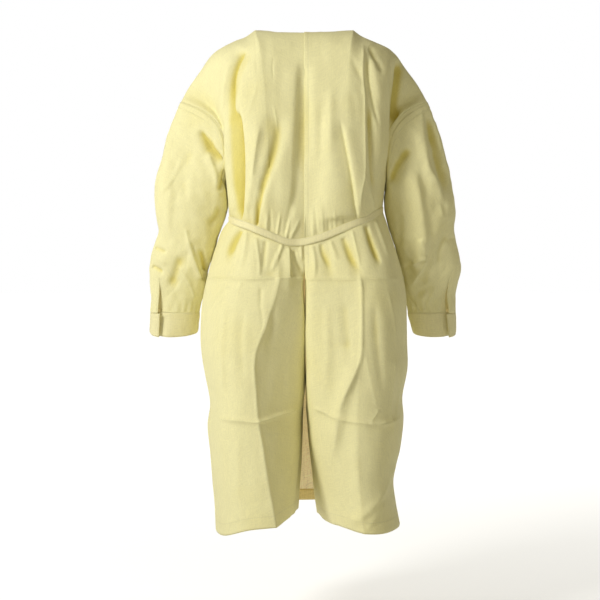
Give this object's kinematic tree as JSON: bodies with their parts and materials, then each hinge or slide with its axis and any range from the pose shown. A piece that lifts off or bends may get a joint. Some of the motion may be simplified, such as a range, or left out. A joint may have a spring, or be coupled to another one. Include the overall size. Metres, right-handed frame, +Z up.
{
  "type": "isolation gown",
  "caption": "Yellow long-sleeved back-opening isolation gown in its worn form, with drop shoulders, slit cuffs and a narrow waist belt tied at the front.",
  "frame": {"origin": "midway between the two points where the neckline meets the shoulder seams, inside the neck opening, where the wearer's shoulders hold the gown", "axes": "+Z up along the body, +X towards the wearer's right, -Y towards the back with its centre opening"},
  "size_m": [0.793, 0.4105, 1.2393],
  "materials": {
    "gown_cloth": "matt plain weave",
    "sleeve_cloth": "matt plain weave",
    "cuff_cloth": "matt plain weave, two plies, topstitched",
    "placket_cloth": "matt plain weave",
    "belt_cloth": "matt plain weave, folded and stitched"
  },
  "bodies": {
    "root": {"front": "gown_cloth", "back_left": "gown_cloth", "back_right": "gown_cloth", "sleeve_left": "sleeve_cloth", "sleeve_right": "sleeve_cloth", "cuff_left": "cuff_cloth", "cuff_right": "cuff_cloth", "placket_left": "placket_cloth", "placket_right": "placket_cloth", "belt": "belt_cloth", "belt_knot": "belt_cloth", "belt_end_left": "belt_cloth", "belt_end_right": "belt_cloth"}
  },
  "joints": []
}
